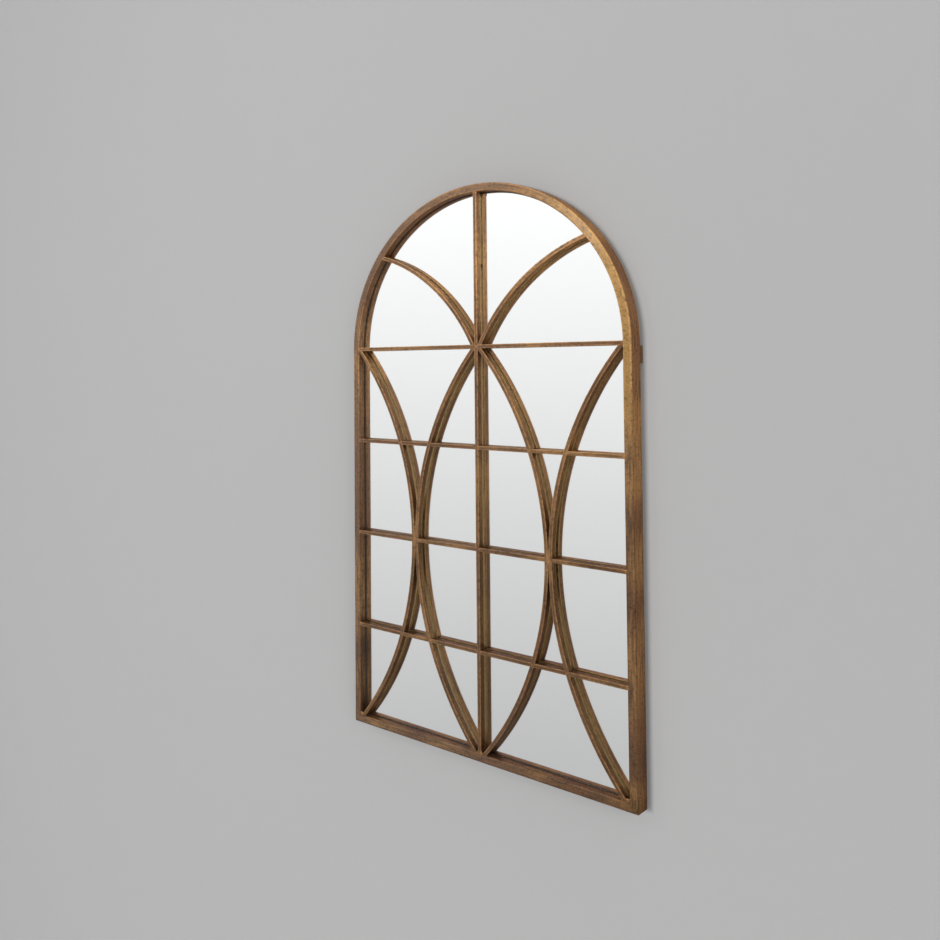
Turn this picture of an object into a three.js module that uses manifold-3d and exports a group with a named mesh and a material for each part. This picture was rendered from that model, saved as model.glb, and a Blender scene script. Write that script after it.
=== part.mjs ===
// Arched window mirror: a steel tube frame with a half-round head, a welded steel grille flush with the
// frame's front, one sheet of mirror glass behind the grille, and a backing board held by clips.
// Millimetres. x runs across, y from the front face towards the wall, z up. The pieces are drawn with z = 0
// on the spring line, where the arch starts, and y = 0 on the front face. The finished part has its origin
// at the middle of its box.

import * as THREE from 'three';
import { mergeVertices } from 'three/addons/utils/BufferGeometryUtils.js';
import Module from 'manifold-3d';

// Overall size.
const OVERALL_WIDTH = 800;
const OVERALL_HEIGHT = 1400;

// Frame: rectangular tube stood on edge.
const FRAME_FACE = 20;
const FRAME_DEPTH = 45;
const TUBE_WALL = 1.5;

// Grille: flat bar on edge, flush with the front of the frame.
const BAR_FACE = 9.5;
const BAR_DEPTH = 18;
const ROW_COUNT = 4;

// Crown arcs: from the spring bar beside the centre bar up to the arch.
const CROWN_FOOT_OFFSET = 4;
const CROWN_TIP_ANGLE = 39.5;
const CROWN_BOW = 38.6;

// Glass, board and the round rubber pads that hold the glass off the bars.
const PAD_THICKNESS = 2.4;
const PAD_RADIUS = 4.5;
const CROWN_PAD_Z = 200;
const GLASS_THICKNESS = 4;
const GLASS_CLEARANCE = 1;
const BOARD_THICKNESS = 5;
const BOARD_CLEARANCE = 1.5;

// Retaining clips: bent strip, one leg on the inner side of the frame and a foot on the board.
const CLIP_WIDTH = 20;
const CLIP_THICKNESS = 1.2;
const CLIP_LEG = 13;
const CLIP_FOOT = 16;
const CLIP_BEND = 2.4;
const STILE_CLIP_COUNT = 3;
const STILE_CLIP_MARGIN = 140;
const RAIL_CLIP_SPACING = 380;
const ARCH_CLIP_ANGLES = [50, 130];

// Hanging brackets: folded channels welded to the back of the stiles, with a keyhole in the web.
const BRACKET_HEIGHT = 38;
const BRACKET_STANDOFF = 12;
const BRACKET_THICKNESS = 2;
const BRACKET_BEND = 3;
const BRACKET_DROP = 6;
const KEYHOLE_ENTRY_RADIUS = 5;
const KEYHOLE_SLOT_RADIUS = 2.6;
const KEYHOLE_TRAVEL = 11;
const KEYHOLE_ENTRY_RISE = 15;

// Gap left where welded or seated pieces meet.
const SEAT_GAP = 0.3;

// Straight pieces along each curve, run-on of the arcs past their ends before trimming, and how far a cutter
// stands out of what it cuts.
const ARCH_STEPS = 48;
const BAR_ARC_STEPS = 24;
const BEND_STEPS = 3;
const ARC_OVERRUN = 25;
const CUT_OVERSHOOT = 5;

// Lines that the pieces share.
const ARCH_RADIUS = OVERALL_WIDTH / 2;
const OPENING_RADIUS = ARCH_RADIUS - FRAME_FACE;
const SILL_Z = ARCH_RADIUS - OVERALL_HEIGHT;
const RAIL_TOP_Z = SILL_Z + FRAME_FACE;
const RAIL_MIDDLE_Z = SILL_Z + FRAME_FACE / 2;
const ROW_PITCH = (BAR_FACE / 2 - RAIL_TOP_Z) / ROW_COUNT;
const HALF_BAR = BAR_FACE / 2;
const KISS_X = (HALF_BAR + OPENING_RADIUS) / 2;
const KISS_Z = RAIL_MIDDLE_Z / 2;
const PAD_Y = BAR_DEPTH + SEAT_GAP;
const GLASS_Y = PAD_Y + PAD_THICKNESS + SEAT_GAP;
const BOARD_Y = GLASS_Y + GLASS_THICKNESS + SEAT_GAP;
const CLIP_Y = BOARD_Y + BOARD_THICKNESS + SEAT_GAP;
const WALL_Y = FRAME_DEPTH + BRACKET_STANDOFF;
const SIDES = [['left', -1], ['right', 1]];

const patinatedSteel = new THREE.MeshStandardMaterial({ color: 0x8a6848, roughness: 0.45, metalness: 0.85 });
const mirrorGlass = new THREE.MeshStandardMaterial({ color: 0xe8ecec, roughness: 0.02, metalness: 1 });
const greyBoard = new THREE.MeshStandardMaterial({ color: 0x6f6358, roughness: 0.9, metalness: 0 });
const blackRubber = new THREE.MeshStandardMaterial({ color: 0x1c1b1a, roughness: 0.95, metalness: 0 });
const zincSteel = new THREE.MeshStandardMaterial({ color: 0x9a9c9c, roughness: 0.4, metalness: 0.9 });

const wasm = await Module();
wasm.setup();

// Closed geometry to a solid that can be cut.
function solidOf(geometry) {
  geometry.deleteAttribute('normal');
  geometry.deleteAttribute('uv');
  const merged = mergeVertices(geometry, 1e-4);
  const vertProperties = new Float32Array(merged.attributes.position.array);
  const triVerts = new Uint32Array(merged.index.array);
  return new wasm.Manifold(new wasm.Mesh({ numProp: 3, vertProperties, triVerts }));
}

// Named mesh of a solid.
function meshOf(name, solid, material) {
  const { vertProperties, triVerts } = solid.getMesh();
  const geometry = new THREE.BufferGeometry();
  geometry.setAttribute('position', new THREE.BufferAttribute(vertProperties, 3));
  geometry.setIndex(new THREE.BufferAttribute(triVerts, 1));
  geometry.computeVertexNormals();
  const mesh = new THREE.Mesh(geometry, material);
  mesh.name = name;
  return mesh;
}

// An outline in the x-z plane, carried from front along +y by depth.
function plate(shape, front, depth, curveSegments = ARCH_STEPS) {
  const geometry = new THREE.ExtrudeGeometry(shape, { depth, bevelEnabled: false, curveSegments });
  return solidOf(geometry.rotateX(Math.PI / 2).translate(0, front + depth, 0));
}

// Box between two x and two z values, carried from front along +y by depth.
function block(x0, x1, z0, z1, front, depth) {
  const geometry = new THREE.BoxGeometry(Math.abs(x1 - x0), depth, z1 - z0);
  return solidOf(geometry.translate((x0 + x1) / 2, front + depth / 2, (z0 + z1) / 2));
}

// Closed outline through a list of [x, z] points.
function polygon(points) {
  return new THREE.Shape(points.map(([x, z]) => new THREE.Vector2(x, z)));
}

// The frame's outline, drawn in by inset: straight sides and sill under a half circle.
function archOutline(inset) {
  const radius = ARCH_RADIUS - inset;
  const shape = new THREE.Shape();
  shape.moveTo(-radius, SILL_Z + inset);
  shape.lineTo(radius, SILL_Z + inset);
  shape.lineTo(radius, 0);
  shape.absarc(0, 0, radius, 0, Math.PI, false);
  return shape;
}

// Band of even width round the circular arc that runs from start to end with apex half way.
function arcBand(start, apex, end, width) {
  const middle = start.clone().add(end).multiplyScalar(0.5);
  const rise = apex.distanceTo(middle);
  const halfChord = start.distanceTo(end) / 2;
  const radius = (halfChord ** 2 + rise ** 2) / (2 * rise);
  const outward = apex.clone().sub(middle).normalize();
  const centre = apex.clone().addScaledVector(outward, -radius);
  const heading = outward.angle();
  const sweep = Math.asin(halfChord / radius) + ARC_OVERRUN / radius;
  const shape = new THREE.Shape();
  shape.absarc(centre.x, centre.y, radius + width / 2, heading - sweep, heading + sweep, false);
  shape.absarc(centre.x, centre.y, radius - width / 2, heading + sweep, heading - sweep, true);
  return shape;
}

// Hollow frame tube as one closed loop, before it is cut into its four lengths.
function frameLoop() {
  const outside = plate(archOutline(0), 0, FRAME_DEPTH);
  const opening = plate(archOutline(FRAME_FACE), -CUT_OVERSHOOT, FRAME_DEPTH + 2 * CUT_OVERSHOOT);
  const boreDepth = FRAME_DEPTH - 2 * TUBE_WALL;
  const bore = plate(archOutline(TUBE_WALL), TUBE_WALL, boreDepth);
  const boreCore = plate(archOutline(FRAME_FACE - TUBE_WALL), 0, FRAME_DEPTH);
  return outside.subtract(opening).subtract(bore.subtract(boreCore));
}

// One length of the frame tube: what lies inside a region of the x-z plane.
function frameLength(loop, points) {
  return loop.intersect(plate(polygon(points), -CUT_OVERSHOOT, FRAME_DEPTH + 2 * CUT_OVERSHOOT));
}

// Arch, two stiles butted to it on the spring line, and a bottom rail mitred to the stiles.
function frameMeshes() {
  const loop = frameLoop();
  const reach = ARCH_RADIUS + CUT_OVERSHOOT;
  const inner = OPENING_RADIUS - CUT_OVERSHOOT;
  const jointZ = SEAT_GAP / 2;
  const mitreShift = SEAT_GAP / Math.SQRT2;
  const mitreLow = SILL_Z - CUT_OVERSHOOT;
  const mitreHigh = RAIL_TOP_Z + CUT_OVERSHOOT;
  const arch = frameLength(loop, [[-reach, jointZ], [reach, jointZ], [reach, reach], [-reach, reach]]);
  const rail = frameLength(loop, [
    [-reach, mitreLow - mitreShift],
    [reach, mitreLow - mitreShift],
    [inner, mitreHigh - mitreShift],
    [-inner, mitreHigh - mitreShift],
  ]);
  const stiles = SIDES.map(([side, sign]) => {
    const stile = frameLength(loop, [
      [sign * reach, -jointZ],
      [sign * reach, mitreLow + mitreShift],
      [sign * inner, mitreHigh + mitreShift],
      [sign * inner, -jointZ],
    ]);
    return meshOf(`frame_stile_${side}`, stile, patinatedSteel);
  });
  return [
    meshOf('frame_arch', arch, patinatedSteel),
    ...stiles,
    meshOf('frame_bottom_rail', rail, patinatedSteel),
  ];
}

// Where the grille's bars may reach: the frame's opening less the seat gap, on one side of the centre bar.
const grilleOpening = plate(archOutline(FRAME_FACE + SEAT_GAP), 0, BAR_DEPTH);

// One quarter of the opening: left or right of the centre bar, above or below the spring bar.
function quarter(sign, up) {
  const near = HALF_BAR + SEAT_GAP;
  const far = up > 0 ? ARCH_RADIUS : -SILL_Z;
  const low = up > 0 ? near : -far;
  const high = up > 0 ? far : -near;
  return grilleOpening.intersect(block(sign * near, sign * ARCH_RADIUS, low, high, 0, BAR_DEPTH));
}

// Height of a cross bar's centre line, counted down from the spring bar.
function rowZ(row) {
  return -row * ROW_PITCH;
}

// Centre line of a lower arc: from the spring line to the bottom rail, bowed towards its pair.
function lowerArcBand(sign, kind, width) {
  const endX = kind === 'inner' ? HALF_BAR : OPENING_RADIUS;
  const apexShift = (BAR_FACE + SEAT_GAP) / 2;
  const apexX = kind === 'inner' ? KISS_X - apexShift : KISS_X + apexShift;
  const start = new THREE.Vector2(sign * endX, 0);
  const apex = new THREE.Vector2(sign * apexX, KISS_Z);
  const end = new THREE.Vector2(sign * endX, RAIL_MIDDLE_Z);
  return arcBand(start, apex, end, width);
}

// Lower arc, notched in its rear half where the upper and lower cross bars pass behind it.
function lowerArc(sign, kind) {
  const band = plate(lowerArcBand(sign, kind, BAR_FACE), 0, BAR_DEPTH, BAR_ARC_STEPS);
  const notchY = (BAR_DEPTH - SEAT_GAP) / 2;
  const notchReach = HALF_BAR + SEAT_GAP;
  let arc = band.intersect(quarter(sign, -1));
  for (const row of [1, ROW_COUNT - 1]) {
    const low = rowZ(row) - notchReach;
    const high = rowZ(row) + notchReach;
    arc = arc.subtract(block(0, sign * ARCH_RADIUS, low, high, notchY, BAR_DEPTH));
  }
  return arc;
}

// Crown arc: from the spring bar to the arch, bowed up and inwards.
function crownArc(sign) {
  const tipAngle = THREE.MathUtils.degToRad(CROWN_TIP_ANGLE);
  const foot = new THREE.Vector2(sign * (HALF_BAR + CROWN_FOOT_OFFSET), 0);
  const tip = new THREE.Vector2(sign * Math.cos(tipAngle), Math.sin(tipAngle)).multiplyScalar(OPENING_RADIUS);
  const chord = tip.clone().sub(foot).normalize();
  const bow = new THREE.Vector2(-sign * chord.y, sign * chord.x).multiplyScalar(CROWN_BOW);
  const apex = foot.clone().add(tip).multiplyScalar(0.5).add(bow);
  const band = plate(arcBand(foot, apex, tip, BAR_FACE), 0, BAR_DEPTH, BAR_ARC_STEPS);
  return band.intersect(quarter(sign, 1));
}

// Half of a cross bar, from the centre bar to the stile.
function halfBar(sign, z) {
  const near = sign * (HALF_BAR + SEAT_GAP);
  const bar = block(near, sign * ARCH_RADIUS, z - HALF_BAR, z + HALF_BAR, 0, BAR_DEPTH);
  return bar.intersect(grilleOpening);
}

// Half of a cross bar with its front half notched for the two arcs that it passes behind.
function lappedBar(sign, z) {
  const notchDepth = CUT_OVERSHOOT + (BAR_DEPTH + SEAT_GAP) / 2;
  let bar = halfBar(sign, z);
  for (const kind of ['inner', 'outer']) {
    const band = lowerArcBand(sign, kind, BAR_FACE + 2 * SEAT_GAP);
    bar = bar.subtract(plate(band, -CUT_OVERSHOOT, notchDepth, BAR_ARC_STEPS));
  }
  return bar;
}

// One length of the middle cross bar: from the centre bar to the inner arc, or from the outer arc to the
// stile.
function middleBar(sign, kind) {
  const z = rowZ(ROW_COUNT / 2);
  const apexReach = SEAT_GAP / 2 + BAR_FACE + SEAT_GAP;
  const from = kind === 'inner' ? 0 : KISS_X + apexReach;
  const to = kind === 'inner' ? KISS_X - apexReach : ARCH_RADIUS;
  const span = block(sign * from, sign * to, z - HALF_BAR, z + HALF_BAR, 0, BAR_DEPTH);
  return halfBar(sign, z).intersect(span);
}

// Centre bar, six half cross bars, four lengths of middle bar, four lower arcs and two crown arcs.
function grilleMeshes() {
  const centreBar = block(-HALF_BAR, HALF_BAR, SILL_Z, ARCH_RADIUS, 0, BAR_DEPTH).intersect(grilleOpening);
  const meshes = [meshOf('centre_bar', centreBar, patinatedSteel)];
  for (const [side, sign] of SIDES) {
    meshes.push(meshOf(`spring_bar_${side}`, halfBar(sign, rowZ(0)), patinatedSteel));
    meshes.push(meshOf(`upper_bar_${side}`, lappedBar(sign, rowZ(1)), patinatedSteel));
    meshes.push(meshOf(`lower_bar_${side}`, lappedBar(sign, rowZ(ROW_COUNT - 1)), patinatedSteel));
    meshes.push(meshOf(`crown_arc_${side}`, crownArc(sign), patinatedSteel));
    for (const kind of ['inner', 'outer']) {
      meshes.push(meshOf(`middle_bar_${side}_${kind}`, middleBar(sign, kind), patinatedSteel));
      meshes.push(meshOf(`${kind}_arc_${side}`, lowerArc(sign, kind), patinatedSteel));
    }
  }
  return meshes;
}

// Rubber pads between grille and glass: on the centre bar at the crown, the hub and the lower cross bar, and
// where each pair of lower arcs touches.
function padMeshes() {
  const seats = [
    ['crown', 0, CROWN_PAD_Z],
    ['hub', 0, rowZ(0)],
    ['foot', 0, rowZ(ROW_COUNT - 1)],
    ['left', -KISS_X, KISS_Z],
    ['right', KISS_X, KISS_Z],
  ];
  return seats.map(([place, x, z]) => {
    const disc = new THREE.Shape().absarc(x, z, PAD_RADIUS, 0, 2 * Math.PI, false);
    return meshOf(`spacer_pad_${place}`, plate(disc, PAD_Y, PAD_THICKNESS, 4 * BEND_STEPS), blackRubber);
  });
}

// Mirror glass and backing board, both cut to the frame's opening less their clearance.
function panelMeshes() {
  const glass = plate(archOutline(FRAME_FACE + GLASS_CLEARANCE), GLASS_Y, GLASS_THICKNESS);
  const board = plate(archOutline(FRAME_FACE + BOARD_CLEARANCE), BOARD_Y, BOARD_THICKNESS);
  return [meshOf('mirror_glass', glass, mirrorGlass), meshOf('backing_board', board, greyBoard)];
}

// Clip profile in its own x-y plane: x away from the frame's side, y towards the wall. The leg stands along y
// beside the frame, the foot runs along x on the board, and a round bend joins them.
function clipProfile() {
  const innerBend = CLIP_BEND - CLIP_THICKNESS;
  const shape = new THREE.Shape();
  shape.moveTo(SEAT_GAP, CLIP_Y + CLIP_LEG);
  shape.lineTo(SEAT_GAP, CLIP_Y + CLIP_BEND);
  shape.absarc(SEAT_GAP + CLIP_BEND, CLIP_Y + CLIP_BEND, CLIP_BEND, Math.PI, 1.5 * Math.PI, false);
  shape.lineTo(SEAT_GAP + CLIP_FOOT, CLIP_Y);
  shape.lineTo(SEAT_GAP + CLIP_FOOT, CLIP_Y + CLIP_THICKNESS);
  shape.absarc(SEAT_GAP + CLIP_BEND, CLIP_Y + CLIP_BEND, innerBend, 1.5 * Math.PI, Math.PI, true);
  shape.lineTo(SEAT_GAP + CLIP_THICKNESS, CLIP_Y + CLIP_LEG);
  return shape;
}

// Retaining clip at a point of the frame's inner side, its foot pointing along inward.
function clipMesh(name, point, inward) {
  const extrusion = { depth: CLIP_WIDTH, bevelEnabled: false, curveSegments: BEND_STEPS };
  const geometry = new THREE.ExtrudeGeometry(clipProfile(), extrusion);
  const mesh = meshOf(name, solidOf(geometry.translate(0, 0, -CLIP_WIDTH / 2)), zincSteel);
  mesh.position.set(point.x, 0, point.y);
  mesh.rotation.y = -inward.angle();
  return mesh;
}

// Clips spread evenly down each stile, a pair on the bottom rail and one on each haunch of the arch.
function clipMeshes() {
  const seats = [];
  const stileStep = (RAIL_TOP_Z + 2 * STILE_CLIP_MARGIN) / (STILE_CLIP_COUNT - 1);
  for (const [, sign] of SIDES) {
    for (let i = 0; i < STILE_CLIP_COUNT; i += 1) {
      const point = new THREE.Vector2(sign * OPENING_RADIUS, i * stileStep - STILE_CLIP_MARGIN);
      seats.push([point, new THREE.Vector2(-sign, 0)]);
    }
    const railPoint = new THREE.Vector2((sign * RAIL_CLIP_SPACING) / 2, RAIL_TOP_Z);
    seats.push([railPoint, new THREE.Vector2(0, 1)]);
  }
  const chordSag = OPENING_RADIUS - Math.sqrt(OPENING_RADIUS ** 2 - (CLIP_WIDTH / 2) ** 2);
  for (const degrees of ARCH_CLIP_ANGLES) {
    const angle = THREE.MathUtils.degToRad(degrees);
    const outward = new THREE.Vector2(Math.cos(angle), Math.sin(angle));
    const point = outward.clone().multiplyScalar(OPENING_RADIUS - chordSag);
    seats.push([point, outward.negate()]);
  }
  return seats.map(([point, inward], i) => clipMesh(`retaining_clip_${i + 1}`, point, inward));
}

// Channel profile of a bracket in the x-y plane: open towards the stile, with round folds at the wall side.
function bracketProfile() {
  const half = FRAME_FACE / 2;
  const open = FRAME_DEPTH + SEAT_GAP;
  const foldY = WALL_Y - BRACKET_BEND;
  const foldX = half - BRACKET_BEND;
  const inner = half - BRACKET_THICKNESS;
  const innerBend = BRACKET_BEND - BRACKET_THICKNESS;
  const shape = new THREE.Shape();
  shape.moveTo(half, open);
  shape.lineTo(half, foldY);
  shape.absarc(foldX, foldY, BRACKET_BEND, 0, Math.PI / 2, false);
  shape.absarc(-foldX, foldY, BRACKET_BEND, Math.PI / 2, Math.PI, false);
  shape.lineTo(-half, open);
  shape.lineTo(-inner, open);
  shape.lineTo(-inner, foldY);
  shape.absarc(-foldX, foldY, innerBend, Math.PI, Math.PI / 2, true);
  shape.absarc(foldX, foldY, innerBend, Math.PI / 2, 0, true);
  shape.lineTo(inner, open);
  return shape;
}

// Keyhole outline about the centre of its round entry, with the narrow slot above it.
function keyholeShape() {
  const meeting = Math.asin(KEYHOLE_SLOT_RADIUS / KEYHOLE_ENTRY_RADIUS);
  const shape = new THREE.Shape();
  shape.absarc(0, 0, KEYHOLE_ENTRY_RADIUS, Math.PI / 2 + meeting, 2.5 * Math.PI - meeting, false);
  shape.absarc(0, KEYHOLE_TRAVEL, KEYHOLE_SLOT_RADIUS, 0, Math.PI, false);
  return shape;
}

// Hanging brackets behind the stiles, just below the spring line.
function bracketMeshes() {
  const bottom = -BRACKET_DROP - BRACKET_HEIGHT;
  const extrusion = { depth: BRACKET_HEIGHT, bevelEnabled: false, curveSegments: BEND_STEPS };
  const webY = WALL_Y - BRACKET_THICKNESS;
  const cutY = webY - BRACKET_BEND;
  const keyhole = plate(keyholeShape(), cutY, WALL_Y - cutY + CUT_OVERSHOOT, 4 * BEND_STEPS);
  return SIDES.map(([side, sign]) => {
    const channel = solidOf(new THREE.ExtrudeGeometry(bracketProfile(), extrusion));
    const bracket = channel.subtract(keyhole.translate([0, 0, KEYHOLE_ENTRY_RISE]));
    const mesh = meshOf(`hanging_bracket_${side}`, bracket, patinatedSteel);
    mesh.position.set(sign * (ARCH_RADIUS - FRAME_FACE / 2), 0, bottom);
    return mesh;
  });
}

const pieces = new THREE.Group();
pieces.add(...frameMeshes());
pieces.add(...grilleMeshes());
pieces.add(...padMeshes());
pieces.add(...panelMeshes());
pieces.add(...clipMeshes());
pieces.add(...bracketMeshes());
pieces.position.set(0, -WALL_Y / 2, OVERALL_HEIGHT / 2 - ARCH_RADIUS);

const mirror = new THREE.Group();
mirror.add(pieces);

export default mirror;
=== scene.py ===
"""Arched window mirror on a studio wall: patinated steel frame and grille over a sheet of mirror glass."""
import math

import bpy
import numpy as np
from mathutils import Euler, Matrix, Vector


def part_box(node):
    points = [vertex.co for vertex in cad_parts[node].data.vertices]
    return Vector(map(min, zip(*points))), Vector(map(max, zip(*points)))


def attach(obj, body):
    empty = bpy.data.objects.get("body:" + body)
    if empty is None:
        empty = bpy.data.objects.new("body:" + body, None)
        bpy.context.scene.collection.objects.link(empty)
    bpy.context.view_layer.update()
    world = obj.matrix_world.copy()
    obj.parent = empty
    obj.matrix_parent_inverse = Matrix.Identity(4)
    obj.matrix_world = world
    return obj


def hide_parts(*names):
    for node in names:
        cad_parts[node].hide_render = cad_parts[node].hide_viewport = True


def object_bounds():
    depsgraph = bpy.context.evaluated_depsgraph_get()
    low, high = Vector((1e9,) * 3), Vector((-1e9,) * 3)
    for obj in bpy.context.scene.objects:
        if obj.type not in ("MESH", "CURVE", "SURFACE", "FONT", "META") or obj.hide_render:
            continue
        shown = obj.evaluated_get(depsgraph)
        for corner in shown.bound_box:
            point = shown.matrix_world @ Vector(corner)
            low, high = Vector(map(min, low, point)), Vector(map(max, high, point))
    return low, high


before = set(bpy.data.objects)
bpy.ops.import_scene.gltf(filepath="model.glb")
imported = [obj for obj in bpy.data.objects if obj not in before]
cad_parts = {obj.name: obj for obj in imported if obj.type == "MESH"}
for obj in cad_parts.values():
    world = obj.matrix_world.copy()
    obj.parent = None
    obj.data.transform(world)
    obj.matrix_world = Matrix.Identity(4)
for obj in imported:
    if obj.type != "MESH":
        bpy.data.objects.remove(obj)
CAD_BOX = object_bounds()

# ---------------------------------------------------------------------------------------------------------
# Camera. It stands to the right of the mirror, a little below the foot of the arch, and looks slightly up.
# The picture was cropped from a wider one, so the lens axis meets it off its middle.
PICTURE_SIDE_PX = 940.0
FOCAL_PX = 943.8
AXIS_PX = (318.5, 339.9)
CAMERA_PLACE = (1.3248, -1.9521, 0.2361)
CAMERA_YAW = math.radians(44.01)
CAMERA_RISE = math.radians(2.02)
CAMERA_ROLL = math.radians(-0.20)
CAMERA_SENSOR_MM = 36.0

camera_data = bpy.data.cameras.new("camera")
camera_data.sensor_width = CAMERA_SENSOR_MM
camera_data.lens = CAMERA_SENSOR_MM * FOCAL_PX / PICTURE_SIDE_PX
camera_data.shift_x = (PICTURE_SIDE_PX / 2 - AXIS_PX[0]) / PICTURE_SIDE_PX
camera_data.shift_y = (AXIS_PX[1] - PICTURE_SIDE_PX / 2) / PICTURE_SIDE_PX
camera = bpy.data.objects.new("camera", camera_data)
camera.location = CAMERA_PLACE
level = Euler((math.pi / 2 + CAMERA_RISE, 0.0, CAMERA_YAW)).to_matrix()
camera.rotation_euler = (level @ Matrix.Rotation(CAMERA_ROLL, 3, "Z")).to_euler()
bpy.context.scene.collection.objects.link(camera)
bpy.context.scene.camera = camera
bpy.context.scene.view_settings.view_transform = "Standard"

# ---------------------------------------------------------------------------------------------------------
# Studio. A plain grey wall behind the brackets, a pale floor far below and an even sky, which glass and metal
# show white overhead and grey below. The key lamp casts the wall shadow, the fill and top lamps soften it,
# the back lamps light the mirror's back, and only the small highlight lamp shows in wax and metal.
WALL_GAP = 0.0005
WALL_Y = CAD_BOX[1].y + WALL_GAP
FLOOR_Z = -2.35
STAGE_REACH = 9.0
WALL_GREY = (0.461, 0.461, 0.461)
WALL_SHOWN = 0.48
WALL_SHOWN_SHARE = 0.10
FLOOR_GREY = (0.62, 0.62, 0.62)
SKY_LIGHT = 0.30
SKY_SHOWN = ((-0.9, 0.34), (-0.36, 0.545), (-0.25, 0.637), (-0.13, 0.745), (0.01, 0.90), (0.16, 1.05),
             (0.8, 1.3))


def node_chain(tree, kind, inputs=None, **settings):
    """Adds one node, sets its settings, and links or sets its inputs by name or number."""
    node = tree.nodes.new(kind)
    for key, value in settings.items():
        setattr(node, key, value)
    for key, value in (inputs or {}).items():
        if isinstance(value, bpy.types.NodeSocket):
            tree.links.new(value, node.inputs[key])
        else:
            node.inputs[key].default_value = value
    return node


def blank_material(name):
    """A node material with only its output node; returns the material, its tree and that node."""
    material = bpy.data.materials.new(name)
    material.use_nodes = True
    material.node_tree.nodes.clear()
    return material, material.node_tree, material.node_tree.nodes.new("ShaderNodeOutputMaterial")


def maths(tree, operation, a, b=0.0):
    """Output of a Math node on two sockets or numbers."""
    return node_chain(tree, "ShaderNodeMath", {0: a, 1: b}, operation=operation).outputs[0]


def stage_material(name, grey, shown, shown_share, shows_sky_to_gloss):
    """Matt paint, clear from behind and to shadows. The camera sees a share of it at one even level, and
    mirrors and metal see through it if asked."""
    material, tree, output = blank_material(name)
    paint = node_chain(tree, "ShaderNodeBsdfDiffuse", {"Color": (*grey, 1.0), "Roughness": 0.9})
    even = node_chain(tree, "ShaderNodeEmission", {"Color": (shown, shown, shown, 1.0), "Strength": 1.0})
    clear = node_chain(tree, "ShaderNodeBsdfTransparent")
    path = node_chain(tree, "ShaderNodeLightPath")
    side = node_chain(tree, "ShaderNodeNewGeometry")
    evened = maths(tree, "MULTIPLY", path.outputs["Is Camera Ray"], shown_share)
    face = node_chain(tree, "ShaderNodeMixShader", {0: evened, 1: paint.outputs[0], 2: even.outputs[0]})
    hidden = maths(tree, "MAXIMUM", side.outputs["Backfacing"], path.outputs["Is Shadow Ray"])
    if shows_sky_to_gloss:
        gloss = maths(tree, "MAXIMUM", path.outputs["Is Glossy Ray"], path.outputs["Is Transmission Ray"])
        hidden = maths(tree, "MAXIMUM", hidden, gloss)
    mix = node_chain(tree, "ShaderNodeMixShader", {0: hidden, 1: face.outputs[0], 2: clear.outputs[0]})
    tree.links.new(mix.outputs[0], output.inputs["Surface"])
    return material


def stage_plane(name, corners, material):
    """One flat staged sheet through four corners, facing the side from which they run anticlockwise."""
    mesh = bpy.data.meshes.new(name)
    mesh.from_pydata(corners, [], [(0, 1, 2, 3)])
    mesh.materials.append(material)
    sheet = bpy.data.objects.new(name, mesh)
    bpy.context.scene.collection.objects.link(sheet)


stage_plane("wall", [(-STAGE_REACH, WALL_Y, FLOOR_Z), (STAGE_REACH, WALL_Y, FLOOR_Z),
                     (STAGE_REACH, WALL_Y, STAGE_REACH), (-STAGE_REACH, WALL_Y, STAGE_REACH)],
            stage_material("wall_paint", WALL_GREY, WALL_SHOWN, WALL_SHOWN_SHARE, False))
stage_plane("floor", [(-STAGE_REACH, -STAGE_REACH, FLOOR_Z), (STAGE_REACH, -STAGE_REACH, FLOOR_Z),
                      (STAGE_REACH, STAGE_REACH, FLOOR_Z), (-STAGE_REACH, STAGE_REACH, FLOOR_Z)],
            stage_material("floor_paint", FLOOR_GREY, FLOOR_GREY[0], 0.0, True))


def sky():
    """World that lights evenly, and shows the camera, glass and metal a grey that pales upwards."""
    world = bpy.data.worlds.new("sky")
    bpy.context.scene.world = world
    world.use_nodes = True
    tree = world.node_tree
    tree.nodes.clear()
    direction = node_chain(tree, "ShaderNodeTexCoord").outputs["Generated"]
    rise = node_chain(tree, "ShaderNodeSeparateXYZ", {0: direction}).outputs["Z"]
    low, high = SKY_SHOWN[0][0], SKY_SHOWN[-1][0]
    place = node_chain(tree, "ShaderNodeMapRange", {"Value": rise, "From Min": low, "From Max": high})
    ramp = node_chain(tree, "ShaderNodeValToRGB", {0: place.outputs[0]})
    stops = ramp.color_ramp.elements
    for height, _ in SKY_SHOWN[1:-1]:
        stops.new((height - low) / (high - low))
    for stop, (height, value) in zip(stops, SKY_SHOWN):
        stop.position = (height - low) / (high - low)
        stop.color = (value, value, value, 1.0)
    path = node_chain(tree, "ShaderNodeLightPath")
    shown = maths(tree, "MAXIMUM", path.outputs["Is Camera Ray"], path.outputs["Is Glossy Ray"])
    shown = maths(tree, "MAXIMUM", shown, path.outputs["Is Transmission Ray"])
    plain = node_chain(tree, "ShaderNodeBackground", {"Color": (1.0, 1.0, 1.0, 1.0), "Strength": SKY_LIGHT})
    seen = node_chain(tree, "ShaderNodeBackground", {"Color": ramp.outputs[0], "Strength": 1.0})
    mix = node_chain(tree, "ShaderNodeMixShader", {0: shown, 1: plain.outputs[0], 2: seen.outputs[0]})
    output = node_chain(tree, "ShaderNodeOutputWorld")
    tree.links.new(mix.outputs[0], output.inputs["Surface"])


sky()

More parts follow.
